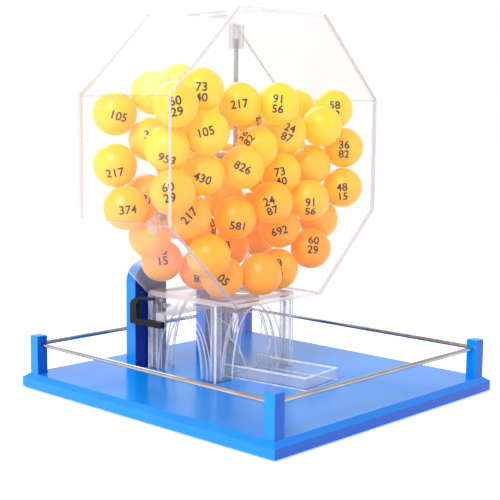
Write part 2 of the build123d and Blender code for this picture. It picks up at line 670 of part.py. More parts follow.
# ---------------------------------------------------------------- filling hatch
TOP = OCT_Z + OCT_HH
with BuildPart() as hatch_lid:
    with BuildSketch(Plane.XY.offset(TOP)):
        with Locations((0, 30.7)):
            RectangleRounded(60, 60, 4)
        with Locations((-5, 52), (5, 52), (0, 8)):
            Circle(1.3, mode=Mode.SUBTRACT)
    extrude(amount=T)
save(hatch_lid.part, "hatch_lid")

with BuildPart() as hatch_lid_leaf:
    with BuildSketch(Plane.XY.offset(TOP + T)):
        with Locations((0, 56)):
            Rectangle(19.6, 16)
        with Locations((-5, 52), (5, 52)):
            Circle(1.3, mode=Mode.SUBTRACT)
    extrude(amount=1.2)
    with BuildSketch(Plane.YZ.offset(-9.8)):
        with Locations((HINGE_Y, HINGE_Z)):
            Circle(2.2)
    extrude(amount=19.6)
    with BuildSketch(Plane.YZ.offset(-12)):
        with Locations((HINGE_Y, HINGE_Z)):
            Circle(1.05)
    extrude(amount=24, mode=Mode.SUBTRACT)
save(hatch_lid_leaf.part, "hatch_lid_leaf")

with BuildPart() as hatch_fixed_leaf:
    with BuildSketch(Plane.XY.offset(TOP)):
        with Locations((0, 72.4)):
            Rectangle(40.4, 11.6)
        for s in (-1, 1):
            with Locations((s * 15.2, 65.5)):
                Rectangle(10, 3)
    extrude(amount=1.2)
    for s in (-1, 1):
        with BuildSketch(Plane.YZ.offset(s * 10.2)):
            with Locations((HINGE_Y, HINGE_Z)):
                Circle(2.2)
        extrude(amount=s * 10)
    with BuildSketch(Plane.YZ.offset(-30)):
        with Locations((HINGE_Y, HINGE_Z)):
            Circle(1.0)
    extrude(amount=60, mode=Mode.SUBTRACT)
save(hatch_fixed_leaf.part, "hatch_fixed_leaf")

with BuildPart() as hatch_hinge_pin:
    with BuildSketch(Plane.YZ.offset(-20.6)):
        with Locations((HINGE_Y, HINGE_Z)):
            Circle(1.0)
    extrude(amount=41.2)
save(hatch_hinge_pin.part, "hatch_hinge_pin")

with BuildPart() as hatch_leaf_rivets:
    with BuildSketch(Plane.XY.offset(TOP + 0.2)):
        with Locations((-5, 52), (5, 52)):
            Circle(1.3)
    extrude(amount=T + 1.0)
    with BuildSketch(Plane.XY.offset(TOP + T + 1.2)):
        with Locations((-5, 52), (5, 52)):
            Circle(2.2)
    extrude(amount=0.9)
save(hatch_leaf_rivets.part, "hatch_leaf_rivets")

with BuildPart() as hatch_knob:
    with BuildSketch(Plane.XY.offset(TOP + T)):
        with Locations((0, 8)):
            Circle(3.2)
    extrude(amount=2.2)
    with BuildSketch(Plane.XY.offset(TOP + T + 2.2)):
        with Locations((0, 8)):
            Circle(5.0)
    extrude(amount=4.0)
    fillet(hatch_knob.faces().sort_by(Axis.Z)[-1].edges(), radius=1.5)
    with BuildSketch(Plane.XY.offset(TOP + 0.2)):
        with Locations((0, 8)):
            Circle(1.3)
    extrude(amount=T)
save(hatch_knob.part, "hatch_knob")

# ---------------------------------------------------------------- balls
with BuildPart() as balls_front:
    with Locations(*FRONT_BALLS):
        Sphere(BALL_R)
save(balls_front.part, "balls_front")

with BuildPart() as balls_back:
    with Locations(*BACK_BALLS):
        Sphere(BALL_R)
save(balls_back.part, "balls_back")
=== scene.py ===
import math
import random

import bmesh
import bpy
import numpy as np
from mathutils import Matrix, Vector


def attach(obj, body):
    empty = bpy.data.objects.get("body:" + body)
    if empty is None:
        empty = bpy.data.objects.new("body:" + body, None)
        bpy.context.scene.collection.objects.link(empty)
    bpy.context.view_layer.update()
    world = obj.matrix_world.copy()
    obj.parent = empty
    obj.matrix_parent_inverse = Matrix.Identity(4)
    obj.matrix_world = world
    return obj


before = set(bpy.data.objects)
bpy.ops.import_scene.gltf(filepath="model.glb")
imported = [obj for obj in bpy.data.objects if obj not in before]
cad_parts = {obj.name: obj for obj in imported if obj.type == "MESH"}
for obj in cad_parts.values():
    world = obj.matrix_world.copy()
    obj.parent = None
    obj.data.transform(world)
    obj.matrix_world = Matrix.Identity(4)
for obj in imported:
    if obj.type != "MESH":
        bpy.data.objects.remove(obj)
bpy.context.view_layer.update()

random.seed(7)

# ------------------------------------------------------------------ camera
YAW, PITCH, ROLL = math.radians(43.27), math.radians(-7.05), math.radians(0.54)
d = Vector((math.cos(YAW) * math.cos(PITCH), math.sin(YAW) * math.cos(PITCH), math.sin(PITCH)))
right = Vector((math.sin(YAW), -math.cos(YAW), 0))
up = right.cross(d)
R = math.cos(ROLL) * right + math.sin(ROLL) * up
U = -math.sin(ROLL) * right + math.cos(ROLL) * up
cam_data = bpy.data.cameras.new("photo_camera")
cam_data.sensor_width = 36.0
cam_data.lens = 1092.73 / 500.0 * 36.0
cam_data.clip_start = 0.02
cam_data.clip_end = 30.0
cam = bpy.data.objects.new("photo_camera", cam_data)
bpy.context.scene.collection.objects.link(cam)
m = Matrix((R, U, -d)).transposed().to_4x4()
m.translation = Vector((-0.75376, -0.69923, 0.26193))
cam.matrix_world = m
bpy.context.scene.camera = cam
bpy.context.scene.view_settings.view_transform = "Standard"


# ------------------------------------------------------------------ shader helpers
def new_mat(name):
    mat = bpy.data.materials.new(name)
    mat.use_nodes = True
    nt = mat.node_tree
    nt.nodes.clear()
    out = nt.nodes.new("ShaderNodeOutputMaterial")
    bsdf = nt.nodes.new("ShaderNodeBsdfPrincipled")
    nt.links.new(bsdf.outputs[0], out.inputs["Surface"])
    return mat, nt, bsdf


def coords(nt):
    return nt.nodes.new("ShaderNodeTexCoord").outputs["Object"]


def noise(nt, co, scale, detail=3.0, rough=0.5):
    n = nt.nodes.new("ShaderNodeTexNoise")
    n.inputs["Scale"].default_value = scale
    n.inputs["Detail"].default_value = detail
    n.inputs["Roughness"].default_value = rough
    nt.links.new(co, n.inputs["Vector"])
    return n.outputs["Fac"]


def ramp(nt, fac, stops):
    r = nt.nodes.new("ShaderNodeValToRGB")
    while len(r.color_ramp.elements) < len(stops):
        r.color_ramp.elements.new(0.5)
    for e, (p, c) in zip(r.color_ramp.elements, stops):
        e.position = p
        e.color = c if len(c) == 4 else (*c, 1.0)
    nt.links.new(fac, r.inputs["Fac"])
    return r.outputs["Color"]


def maprange(nt, val, a, b, c, d2):
    n = nt.nodes.new("ShaderNodeMapRange")
    n.inputs["From Min"].default_value = a
    n.inputs["From Max"].default_value = b
    n.inputs["To Min"].default_value = c
    n.inputs["To Max"].default_value = d2
    nt.links.new(val, n.inputs["Value"])
    return n.outputs["Result"]


def mathn(nt, op, a, b=None):
    n = nt.nodes.new("ShaderNodeMath")
    n.operation = op
    for i, v in enumerate((a, b)):
        if v is None:
            continue
        if isinstance(v, (int, float)):
            n.inputs[i].default_value = v
        else:
            nt.links.new(v, n.inputs[i])
    return n.outputs[0]


def bump(nt, bsdf, height, strength, dist):
    b = nt.nodes.new("ShaderNodeBump")
    b.inputs["Strength"].default_value = strength
    b.inputs["Distance"].default_value = dist
    nt.links.new(height, b.inputs["Height"])
    nt.links.new(b.outputs[0], bsdf.inputs["Normal"])


def mixcol(nt, fac, a, b):
    n = nt.nodes.new("ShaderNodeMix")
    n.data_type = "RGBA"
    if isinstance(fac, (int, float)):
        n.inputs["Factor"].default_value = fac
    else:
        nt.links.new(fac, n.inputs["Factor"])
    for key, v in (("A", a), ("B", b)):
        sock = [s for s in n.inputs if s.name == key and s.type == "RGBA"][0]
        if isinstance(v, tuple):
            sock.default_value = (*v, 1.0) if len(v) == 3 else v
        else:
            nt.links.new(v, sock)
    return [s for s in n.outputs if s.type == "RGBA"][0]


# ------------------------------------------------------------------ materials
def make_blue(name="blue_gloss_plastic", painted_shade_factor=0.62):
    mat, nt, b = new_mat(name)
    co = coords(nt)
    col = ramp(nt, noise(nt, co, 9.0, 2.0), [(0.3, (0.0004, 0.245, 0.84)), (0.7, (0.0008, 0.275, 0.92))])
    # faces turned to the object's front (-Y) get a deeper, darker blue: painted shade on the side away from the
    # light
    tc = nt.nodes.new("ShaderNodeTexCoord")
    nsep = nt.nodes.new("ShaderNodeSeparateXYZ")
    nt.links.new(tc.outputs["Normal"], nsep.inputs[0])
    front = maprange(nt, nsep.outputs[1], -0.9, -0.4, 1.0, 0.0)
    painted_shade_col = (0.0004, 0.26 * painted_shade_factor * painted_shade_factor, 0.88 * painted_shade_factor)
    col = mixcol(nt, front, col, painted_shade_col)
    nt.links.new(col, b.inputs["Base Color"])
    r = maprange(nt, noise(nt, co, 60.0, 4.0, 0.6), 0.3, 0.75, 0.16, 0.26)
    nt.links.new(r, b.inputs["Roughness"])
    b.inputs["Specular IOR Level"].default_value = 0.32
    bump(nt, b, noise(nt, co, 140.0, 2.0), 0.06, 0.0004)
    return mat


def make_clear(name, face_alpha, rim_alpha, tint, edge_tint, rough=0.04, axis=None, edge_alpha=0.55, veil=0.0):
    """Clear sheet: nearly invisible face on, paler where it is seen edge on, with milky cut edges.

    axis names the sheet's own normal, so that faces square to it read as cut edges.
    """
    mat, nt, b = new_mat(name)
    co = coords(nt)
    lw = nt.nodes.new("ShaderNodeLayerWeight")
    lw.inputs["Blend"].default_value = 0.35
    a = maprange(nt, lw.outputs["Facing"], 0.25, 1.0, face_alpha, rim_alpha)
    smear = maprange(nt, noise(nt, co, 14.0, 4.0, 0.6), 0.45, 0.8, 0.0, 0.03 + veil)
    a = mathn(nt, "ADD", a, smear)
    col = tint
    if axis is not None:
        tc = nt.nodes.new("ShaderNodeTexCoord")
        dot = nt.nodes.new("ShaderNodeVectorMath")
        dot.operation = "DOT_PRODUCT"
        nt.links.new(tc.outputs["Normal"], dot.inputs[0])
        dot.inputs[1].default_value = axis
        al = mathn(nt, "ABSOLUTE", dot.outputs["Value"])
        edge = mathn(nt, "LESS_THAN", al, 0.6)
        mx = nt.nodes.new("ShaderNodeMix")
        mx.data_type = "FLOAT"
        nt.links.new(edge, mx.inputs["Factor"])
        nt.links.new(a, mx.inputs[2])
        mx.inputs[3].default_value = edge_alpha
        a = mx.outputs[0]
        colout = mixcol(nt, edge, tint, edge_tint)
        nt.links.new(colout, b.inputs["Base Color"])
    else:
        colout = mixcol(nt, lw.outputs["Facing"], tint, edge_tint)
        nt.links.new(colout, b.inputs["Base Color"])
    nt.links.new(a, b.inputs["Alpha"])
    r = maprange(nt, noise(nt, co, 45.0, 3.0), 0.3, 0.8, rough, rough + 0.05)
    nt.links.new(r, b.inputs["Roughness"])
    b.inputs["IOR"].default_value = 1.49
    b.inputs["Coat Weight"].default_value = 0.6
    b.inputs["Coat Roughness"].default_value = 0.02
    return mat


def between(nt, val, a, b):
    return mathn(nt, "MULTIPLY", mathn(nt, "GREATER_THAN", val, a), mathn(nt, "LESS_THAN", val, b))


def make_lined(name, axis, comp, bands):
    """Clear moulded sheet of the stand: see-through faces, with bright rims painted on the cut faces inside the
    given bands: painted highlight.
    """
    mat, nt, b = new_mat(name)
    co = coords(nt)
    tc = nt.nodes.new("ShaderNodeTexCoord")
    dot = nt.nodes.new("ShaderNodeVectorMath")
    dot.operation = "DOT_PRODUCT"
    nt.links.new(tc.outputs["Normal"], dot.inputs[0])
    dot.inputs[1].default_value = axis
    cut = mathn(nt, "LESS_THAN", mathn(nt, "ABSOLUTE", dot.outputs["Value"]), 0.6)
    sep = nt.nodes.new("ShaderNodeSeparateXYZ")
    nt.links.new(co, sep.inputs[0])
    tot = None
    for lo, hi in bands:
        w = between(nt, sep.outputs[comp], lo, hi)
        tot = w if tot is None else mathn(nt, "ADD", tot, w)
    # painted highlight: cut faces inside the bands are drawn near opaque and white
    line = mathn(nt, "MULTIPLY", cut, tot)
    lw = nt.nodes.new("ShaderNodeLayerWeight")
    lw.inputs["Blend"].default_value = 0.3
    body = maprange(nt, lw.outputs["Facing"], 0.3, 1.0, 0.07, 0.28)
    smear = maprange(nt, noise(nt, co, 22.0, 4.0, 0.6), 0.5, 0.8, 0.0, 0.08)
    body = mathn(nt, "ADD", body, smear)
    streak = maprange(nt, noise(nt, co, 120.0, 2.0, 0.5), 0.35, 0.65, 0.75, 0.97)
    mx = nt.nodes.new("ShaderNodeMix")
    mx.data_type = "FLOAT"
    nt.links.new(line, mx.inputs["Factor"])
    nt.links.new(body, mx.inputs[2])
    nt.links.new(streak, mx.inputs[3])
    nt.links.new(mx.outputs[0], b.inputs["Alpha"])
    nt.links.new(mixcol(nt, line, (0.88, 0.89, 0.96), (0.93, 0.93, 1.0)), b.inputs["Base Color"])
    b.inputs["Roughness"].default_value = 0.08
    b.inputs["IOR"].default_value = 1.49
    b.inputs["Coat Weight"].default_value = 0.5
    b.inputs["Coat Roughness"].default_value = 0.03
    return mat


def make_rimmed(name, lo, hi, zs, axis):
    """Clear moulding with painted highlights as bright rims: above zs[0], at the foot of the walls below zs[1], and,
    given an axis, on faces along axis below y 20 mm and on upward faces above z 48 mm.
    """
    mat, nt, b = new_mat(name)
    co = coords(nt)
    sep = nt.nodes.new("ShaderNodeSeparateXYZ")
    nt.links.new(co, sep.inputs[0])
    tc = nt.nodes.new("ShaderNodeTexCoord")
    line = mathn(nt, "GREATER_THAN", sep.outputs[2], zs[0])
    nsep = nt.nodes.new("ShaderNodeSeparateXYZ")
    nt.links.new(tc.outputs["Normal"], nsep.inputs[0])
    wall = mathn(nt, "LESS_THAN", mathn(nt, "ABSOLUTE", nsep.outputs[2]), 0.5)
    line = mathn(nt, "MAXIMUM", line, mathn(nt, "MULTIPLY", wall, mathn(nt, "LESS_THAN", sep.outputs[2], zs[1])))
    if axis is not None:
        dot = nt.nodes.new("ShaderNodeVectorMath")
        dot.operation = "DOT_PRODUCT"
        nt.links.new(tc.outputs["Normal"], dot.inputs[0])
        dot.inputs[1].default_value = axis
        end = mathn(nt, "GREATER_THAN", mathn(nt, "ABSOLUTE", dot.outputs["Value"]), 0.8)
        line = mathn(nt, "MAXIMUM", line, mathn(nt, "MULTIPLY", end, mathn(nt, "LESS_THAN", sep.outputs[1], 0.020)))
        rim = mathn(nt, "MULTIPLY", mathn(nt, "GREATER_THAN", nsep.outputs[2], 0.75), mathn(nt, "GREATER_THAN", sep.outputs[2], 0.048))
        line = mathn(nt, "MAXIMUM", line, rim)
    lw = nt.nodes.new("ShaderNodeLayerWeight")
    lw.inputs["Blend"].default_value = 0.3
    body = maprange(nt, lw.outputs["Facing"], 0.3, 1.0, lo, hi)
    body = mathn(nt, "ADD", body, maprange(nt, noise(nt, co, 30.0, 4.0, 0.6), 0.5, 0.8, 0.0, 0.08))
    streak = maprange(nt, noise(nt, co, 110.0, 2.0, 0.5), 0.35, 0.65, 0.65, 0.95)
    mx = nt.nodes.new("ShaderNodeMix")
    mx.data_type = "FLOAT"
    nt.links.new(line, mx.inputs["Factor"])
    nt.links.new(body, mx.inputs[2])
    nt.links.new(streak, mx.inputs[3])
    nt.links.new(mx.outputs[0], b.inputs["Alpha"])
    nt.links.new(mixcol(nt, line, (0.88, 0.91, 0.98), (0.94, 0.95, 1.0)), b.inputs["Base Color"])
    b.inputs["Roughness"].default_value = 0.07
    b.inputs["Coat Weight"].default_value = 0.4
    return mat


def make_column():
    """Clear square columns with painted highlights along their corners."""
    mat, nt, b = new_mat("stand_columns")
    co = coords(nt)
    sep = nt.nodes.new("ShaderNodeSeparateXYZ")
    nt.links.new(co, sep.inputs[0])
    dx = mathn(nt, "ABSOLUTE", mathn(nt, "SUBTRACT", mathn(nt, "ABSOLUTE", sep.outputs[0]), 0.0480))
    dy = mathn(nt, "ABSOLUTE", mathn(nt, "SUBTRACT", mathn(nt, "ABSOLUTE", mathn(nt, "SUBTRACT", sep.outputs[1], 0.0485)), 0.0410))
    corner = mathn(nt, "MULTIPLY", mathn(nt, "GREATER_THAN", dx, 0.0024), mathn(nt, "GREATER_THAN", dy, 0.0024))
    streak = maprange(nt, noise(nt, co, 60.0, 2.0, 0.5), 0.35, 0.65, 0.16, 0.32)
    mx = nt.nodes.new("ShaderNodeMix")
    mx.data_type = "FLOAT"
    nt.links.new(corner, mx.inputs["Factor"])
    nt.links.new(streak, mx.inputs[2])
    mx.inputs[3].default_value = 0.80
    nt.links.new(mx.outputs[0], b.inputs["Alpha"])
    nt.links.new(mixcol(nt, corner, (0.86, 0.86, 0.96), (0.93, 0.93, 1.0)), b.inputs["Base Color"])
    b.inputs["Roughness"].default_value = 0.08
    b.inputs["Coat Weight"].default_value = 0.4
    return mat


def make_paddle():
    """Ribbed clear paddle, pale grey against white; the ribs' dark and pale bands are painted shade and painted
    highlight.
    """
    mat, nt, b = new_mat("ribbed_paddle")
    co = coords(nt)
    w = nt.nodes.new("ShaderNodeTexWave")
    w.bands_direction = "X"
    w.inputs["Scale"].default_value = 55.0
    w.inputs["Distortion"].default_value = 1.2
    w.inputs["Detail Scale"].default_value = 40.0
    nt.links.new(co, w.inputs["Vector"])
    nt.links.new(ramp(nt, w.outputs["Fac"], [(0.2, (0.42, 0.43, 0.46)), (0.8, (0.86, 0.87, 0.90))]), b.inputs["Base Color"])
    nt.links.new(maprange(nt, w.outputs["Fac"], 0.2, 0.8, 0.55, 0.22), b.inputs["Alpha"])
    b.inputs["Roughness"].default_value = 0.12
    b.inputs["Coat Weight"].default_value = 0.4
    return mat


def make_chrome():
    mat, nt, b = new_mat("chrome_rail")
    co = coords(nt)
    b.inputs["Metallic"].default_value = 1.0
    col = ramp(nt, noise(nt, co, 30.0, 3.0), [(0.3, (0.40, 0.38, 0.38)), (0.7, (0.54, 0.51, 0.50))])
    nt.links.new(col, b.inputs["Base Color"])
    r = maprange(nt, noise(nt, co, 220.0, 4.0, 0.65), 0.3, 0.8, 0.08, 0.18)
    nt.links.new(r, b.inputs["Roughness"])
    return mat


def make_steel():
    mat, nt, b = new_mat("zinc_steel")
    co = coords(nt)
    mp = nt.nodes.new("ShaderNodeMapping")
    mp.inputs["Scale"].default_value = (1.0, 1.0, 14.0)
    nt.links.new(co, mp.inputs["Vector"])
    b.inputs["Metallic"].default_value = 1.0
    n1 = noise(nt, mp.outputs[0], 160.0, 5.0, 0.7)
    col = ramp(nt, n1, [(0.25, (0.42, 0.42, 0.44)), (0.75, (0.60, 0.60, 0.62))])
    nt.links.new(col, b.inputs["Base Color"])
    r = maprange(nt, n1, 0.2, 0.8, 0.22, 0.38)
    nt.links.new(r, b.inputs["Roughness"])
    bump(nt, b, n1, 0.12, 0.0002)
    return mat


def make_brass():
    mat, nt, b = new_mat("turned_brass")
    co = coords(nt)
    b.inputs["Metallic"].default_value = 1.0
    n1 = noise(nt, co, 300.0, 4.0, 0.6)
    nt.links.new(ramp(nt, n1, [(0.3, (0.62, 0.42, 0.15)), (0.7, (0.80, 0.58, 0.25))]), b.inputs["Base Color"])
    nt.links.new(maprange(nt, n1, 0.2, 0.8, 0.18, 0.34), b.inputs["Roughness"])
    return mat


def make_black():
    mat, nt, b = new_mat("black_moulded_plastic")
    co = coords(nt)
    n1 = noise(nt, co, 420.0, 3.0, 0.6)
    nt.links.new(ramp(nt, noise(nt, co, 25.0), [(0.3, (0.003, 0.003, 0.004)), (0.7, (0.008, 0.008, 0.010))]), b.inputs["Base Color"])
    nt.links.new(maprange(nt, n1, 0.2, 0.8, 0.28, 0.42), b.inputs["Roughness"])
    b.inputs["Specular IOR Level"].default_value = 0.22
    bump(nt, b, n1, 0.15, 0.0002)
    return mat


def make_rubber():
    mat, nt, b = new_mat("black_rubber")
    co = coords(nt)
    n1 = noise(nt, co, 500.0, 4.0, 0.7)
    nt.links.new(ramp(nt, n1, [(0.3, (0.012, 0.012, 0.012)), (0.7, (0.03, 0.03, 0.03))]), b.inputs["Base Color"])
    b.inputs["Roughness"].default_value = 0.85
    bump(nt, b, n1, 0.4, 0.0003)
    return mat


def make_ball():
    mat, nt, b = new_mat("orange_ball")
    co = coords(nt)
    geo = nt.nodes.new("ShaderNodeNewGeometry")
    isl = geo.outputs["Random Per Island"]
    # the tone runs from orange low in the heap to yellow near its top, painted by height: painted light falling from
    # above
    sep = nt.nodes.new("ShaderNodeSeparateXYZ")
    nt.links.new(co, sep.inputs[0])
    tone = maprange(nt, sep.outputs["Z"], 0.13, 0.32, 0.0, 0.8)
    tone = mathn(nt, "ADD", tone, maprange(nt, isl, 0.0, 1.0, -0.06, 0.16))
    base = ramp(nt, tone, [(0.0, (1.0, 0.32, 0.014)), (0.45, (1.0, 0.47, 0.010)), (1.0, (1.0, 0.68, 0.010))])
    mott = maprange(nt, noise(nt, co, 38.0, 4.0, 0.6), 0.35, 0.7, 0.0, 0.08)
    col = mixcol(nt, mott, base, (1.0, 0.60, 0.08))
    nt.links.new(col, b.inputs["Base Color"])
    # the balls glow faintly in their own colour: painted light, they are no lamp
    nt.links.new(col, b.inputs["Emission Color"])
    b.inputs["Emission Strength"].default_value = 0.24
    nt.links.new(maprange(nt, noise(nt, co, 260.0, 3.0, 0.6), 0.25, 0.8, 0.30, 0.42), b.inputs["Roughness"])
    b.inputs["Subsurface Weight"].default_value = 0.45
    b.inputs["Subsurface Radius"].default_value = (1.0, 0.45, 0.08)
    b.inputs["Subsurface Scale"].default_value = 0.008
    b.inputs["Coat Weight"].default_value = 0.12
    b.inputs["Coat Roughness"].default_value = 0.3
    bump(nt, b, noise(nt, co, 900.0, 2.0), 0.05, 0.0001)
    return mat


def make_ink():
    mat, nt, b = new_mat("ball_print_black")
    co = coords(nt)
    n1 = noise(nt, co, 800.0, 3.0, 0.6)
    nt.links.new(ramp(nt, n1, [(0.3, (0.008, 0.007, 0.006)), (0.75, (0.035, 0.025, 0.015))]), b.inputs["Base Color"])
    nt.links.new(maprange(nt, n1, 0.2, 0.8, 0.35, 0.55), b.inputs["Roughness"])
    return mat


BLUE, CHROME, STEEL, BRASS = make_blue(), make_chrome(), make_steel(), make_brass()
# the uprights get a copy of the blue with stronger painted shade on their front faces
BLUE_UP_SHADED = make_blue("blue_gloss_upright_painted_shade", 0.30)
BLACK, RUBBER, BALL, INK = make_black(), make_rubber(), make_ball(), make_ink()
WHITE = (0.97, 0.97, 0.98)
PINK = (0.93, 0.86, 0.87)
S = (Vector((0.6897, 0.0, 0.7241)), Vector((0.6897, 0.0, -0.7241)))
EDGE = (0.60, 0.55, 0.57)
CLEAR_Y = make_clear("acrylic_front_back", 0.015, 0.12, WHITE, EDGE, axis=(0, 1, 0), edge_alpha=0.80)
CLEAR_X = make_clear("acrylic_side", 0.03, 0.16, WHITE, EDGE, axis=(1, 0, 0), edge_alpha=0.60)
CLEAR_Z = make_clear("acrylic_top_bottom", 0.04, 0.16, WHITE, (0.92, 0.90, 0.95), axis=(0, 0, 1), edge_alpha=0.75)
# the bottom sheet's orange-pink tint and pink cut edges are painted reflection of the orange balls resting on it
CLEAR_W = make_clear("acrylic_bottom", 0.12, 0.26, (1.0, 0.58, 0.42), (0.95, 0.84, 0.84), axis=(0, 0, 1), edge_alpha=0.70)
CLEAR_A = make_clear("acrylic_slant_a", 0.05, 0.16, (1.0, 0.96, 0.96), EDGE, axis=tuple(S[0]), edge_alpha=0.60, veil=0.02)
CLEAR_B = make_clear("acrylic_slant_b", 0.05, 0.16, WHITE, EDGE, axis=tuple(S[1]), edge_alpha=0.60, veil=0.02)
LINE = (0.86, 0.87, 0.97)
STAND_X = make_lined("stand_side_sheet", (1, 0, 0), 0, ((-0.0560, -0.0515), (-0.0512, -0.0490), (0.0490, 0.0512), (0.0515, 0.0560)))
STAND_Y = make_lined("stand_end_sheet", (0, 1, 0), 1, ((0.0010, 0.0032), (0.0126, 0.0150), (0.0820, 0.0844), (0.0938, 0.0960)))
COLUMN = make_column()
MOULD = make_clear("clear_moulded_stand", 0.05, 0.45, (0.90, 0.91, 0.97), LINE, rough=0.06, veil=0.02)
TRAYM = make_rimmed("clear_moulded_tray", 0.14, 0.40, (0.0252, 0.0154), None)
CHUTE = make_rimmed("clear_chute", 0.08, 0.40, (9.0, -9.0), (0.0, 0.9397, 0.3420))
CLEARM = make_clear("clear_small_parts", 0.07, 0.50, (0.88, 0.89, 0.95), (0.90, 0.91, 0.97), rough=0.05)
# the shutter's near-opaque white is a painted highlight, standing in for the bright strip at the arch top
GATE = make_clear("white_shutter_painted_highlight", 0.34, 0.80, (0.95, 0.96, 0.98), (0.98, 0.98, 1.0), rough=0.25)
PADDLE = make_paddle()


def put(names, mat):
    for n in names:
        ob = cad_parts[n]
        if not ob.material_slots:
            ob.data.materials.append(mat)
        for s in ob.material_slots:
            s.link = "OBJECT"
            s.material = mat


nodes = list(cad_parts)
put(["base_board"] + [n for n in nodes if n.startswith("corner_post")], BLUE)
put(["upright_left", "upright_right"], BLUE_UP_SHADED)
put([n for n in nodes if n.startswith("rail_")], CHROME)
put(["rubber_feet"], RUBBER)
put(["drum_front_panel", "drum_back_panel"], CLEAR_Y)
put(["drum_wall_left", "drum_wall_right"], CLEAR_X)
put(["drum_wall_top", "hatch_lid", "stand_top_plate"], CLEAR_Z)
put(["drum_wall_bottom"], CLEAR_W)
put(["drum_wall_upper_right", "drum_wall_lower_left"], CLEAR_A)
put(["drum_wall_lower_right", "drum_wall_upper_left"], CLEAR_B)
put(["stand_front_panel", "stand_back_panel"], STAND_Y)
put(["stand_left_panel", "stand_right_panel"], STAND_X)
put(["stand_legs"], COLUMN)
put(["ball_tray"], TRAYM)
put(["outlet_throat", "shutter_guide"], MOULD)
put(["chute_ramp"], CHUTE)
put(["drum_spacers", "hatch_knob", "stirrer_hub"], CLEARM)
put(["shutter_plate"], GATE)
put(["stirrer_paddles"], PADDLE)
put(["stirrer_axle", "stirrer_rods", "shaft_collars", "crank_arm", "crank_pin", "crank_cap_nut", "drum_bolts",
     "post_screws", "upright_screws", "stand_screws", "bearing_screws", "hatch_lid_leaf", "hatch_fixed_leaf",
     "hatch_hinge_pin", "hatch_leaf_rivets"], STEEL)
put(["crank_knob", "shutter_handle", "bearing_flange"], BLACK)
put(["bearing_bush"], BRASS)
put(["balls_front", "balls_back"], BALL)

def bevel(names, width, seg=2):
    for n in names:
        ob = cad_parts[n]
        bv = ob.modifiers.new("edge", "BEVEL")
        bv.width = width
        bv.segments = seg
        bv.limit_method = "ANGLE"
        bv.angle_limit = math.radians(40)
        bv.use_clamp_overlap = True


bevel([n for n in nodes if n.startswith("corner_post")] + ["upright_left", "upright_right"], 0.0004)

# ------------------------------------------------------------------ numbers on the balls
FRONT_BALLS = [
    (-114.0, -7.7, 270.4), (-69.2, 6.2, 283.5), (-110.9, 6.2, 232.6), (-75.4, -7.7, 246.1),
    (-20.4, 6.2, 271.8), (17.6, -7.7, 272.5), (44.9, 6.2, 246.1), (82.4, -7.7, 251.4),
    (116.6, 6.2, 267.9), (116.7, -7.7, 229.9), (116.7, -7.7, 189.5), (-116.7, -7.7, 195.1),
    (-67.5, 6.2, 209.0), (-29.9, -7.7, 214.2), (37.9, 6.2, 206.3), (82.7, 6.2, 212.9),
    (64.8, -7.7, 179.5), (-84.0, 6.2, 172.1), (-25.1, 6.2, 166.7), (10.4, -7.7, 180.1),
    (37.3, 6.2, 153.3), (95.9, 6.2, 157.8), (-72.8, -7.7, 135.8), (-42.0, 6.2, 112.8),
    (-4.1, -7.7, 112.8), (35.4, 6.2, 112.8), (68.4, -7.7, 131.6), (3.8, 6.2, 231.5),
]
BACK_BALLS = [
    (-116.7, 69.2, 262.0), (-86.7, 55.2, 238.7), (-116.7, 69.2, 215.5), (-116.7, 55.2, 177.6),
    (-79.9, 69.2, 186.9), (-87.4, 55.2, 149.7), (-59.9, 69.2, 123.5), (-84.1, 55.2, 281.4),
    (-40.4, 67.9, 290.0), (69.5, 69.2, 238.8), (116.0, 55.4, 268.5), (63.1, 55.2, 201.4),
    (9.6, 55.2, 178.8), (73.2, 69.2, 136.2), (19.5, 57.5, 131.0), (-23.6, 55.2, 112.8),
    (-54.2, 55.2, 214.7), (116.7, 64.8, 223.4), (-2.0, 57.3, 259.3), (47.3, 56.1, 164.3),
    (107.0, 69.0, 168.4), (-49.6, 55.2, 164.0), (38.2, 57.5, 263.6), (25.9, 68.2, 213.5),
    (-39.4, 69.2, 249.6), (-14.6, 69.2, 149.6), (-17.5, 69.2, 205.4),
]

CAM = Vector((-753.76, -699.23, 261.93))
BALL_R = 20.0


def glyph_mesh(text, size):
    """Flat triangles of a text, centred, in millimetres: (vertices, faces)."""
    cu = bpy.data.curves.new("t", "FONT")
    cu.body = text
    cu.size = size
    cu.align_x = "CENTER"
    cu.space_line = 0.85
    cu.offset = size * 0.022
    cu.resolution_u = 3
    ob = bpy.data.objects.new("t", cu)
    bpy.context.scene.collection.objects.link(ob)
    dg = bpy.context.evaluated_depsgraph_get()
    me = bpy.data.meshes.new_from_object(ob.evaluated_get(dg))
    bpy.data.objects.remove(ob)
    bpy.data.curves.remove(cu)
    bm = bmesh.new()
    bm.from_mesh(me)
    bpy.data.meshes.remove(me)
    bmesh.ops.remove_doubles(bm, verts=bm.verts, dist=1e-4)
    bmesh.ops.triangulate(bm, faces=bm.faces)
    for _ in range(4):
        long_edges = [e for e in bm.edges if e.calc_length() > 1.6]
        if not long_edges:
            break
        bmesh.ops.subdivide_edges(bm, edges=long_edges, cuts=1)
        bmesh.ops.triangulate(bm, faces=bm.faces)
    vs = np.array([v.co[:] for v in bm.verts])
    lo, hi = vs.min(0), vs.max(0)
    vs = vs - (lo + hi) / 2
    bm.verts.index_update()
    fs = [[v.index for v in f.verts] for f in bm.faces]
    bm.free()
    return vs, fs


glyphs = {}


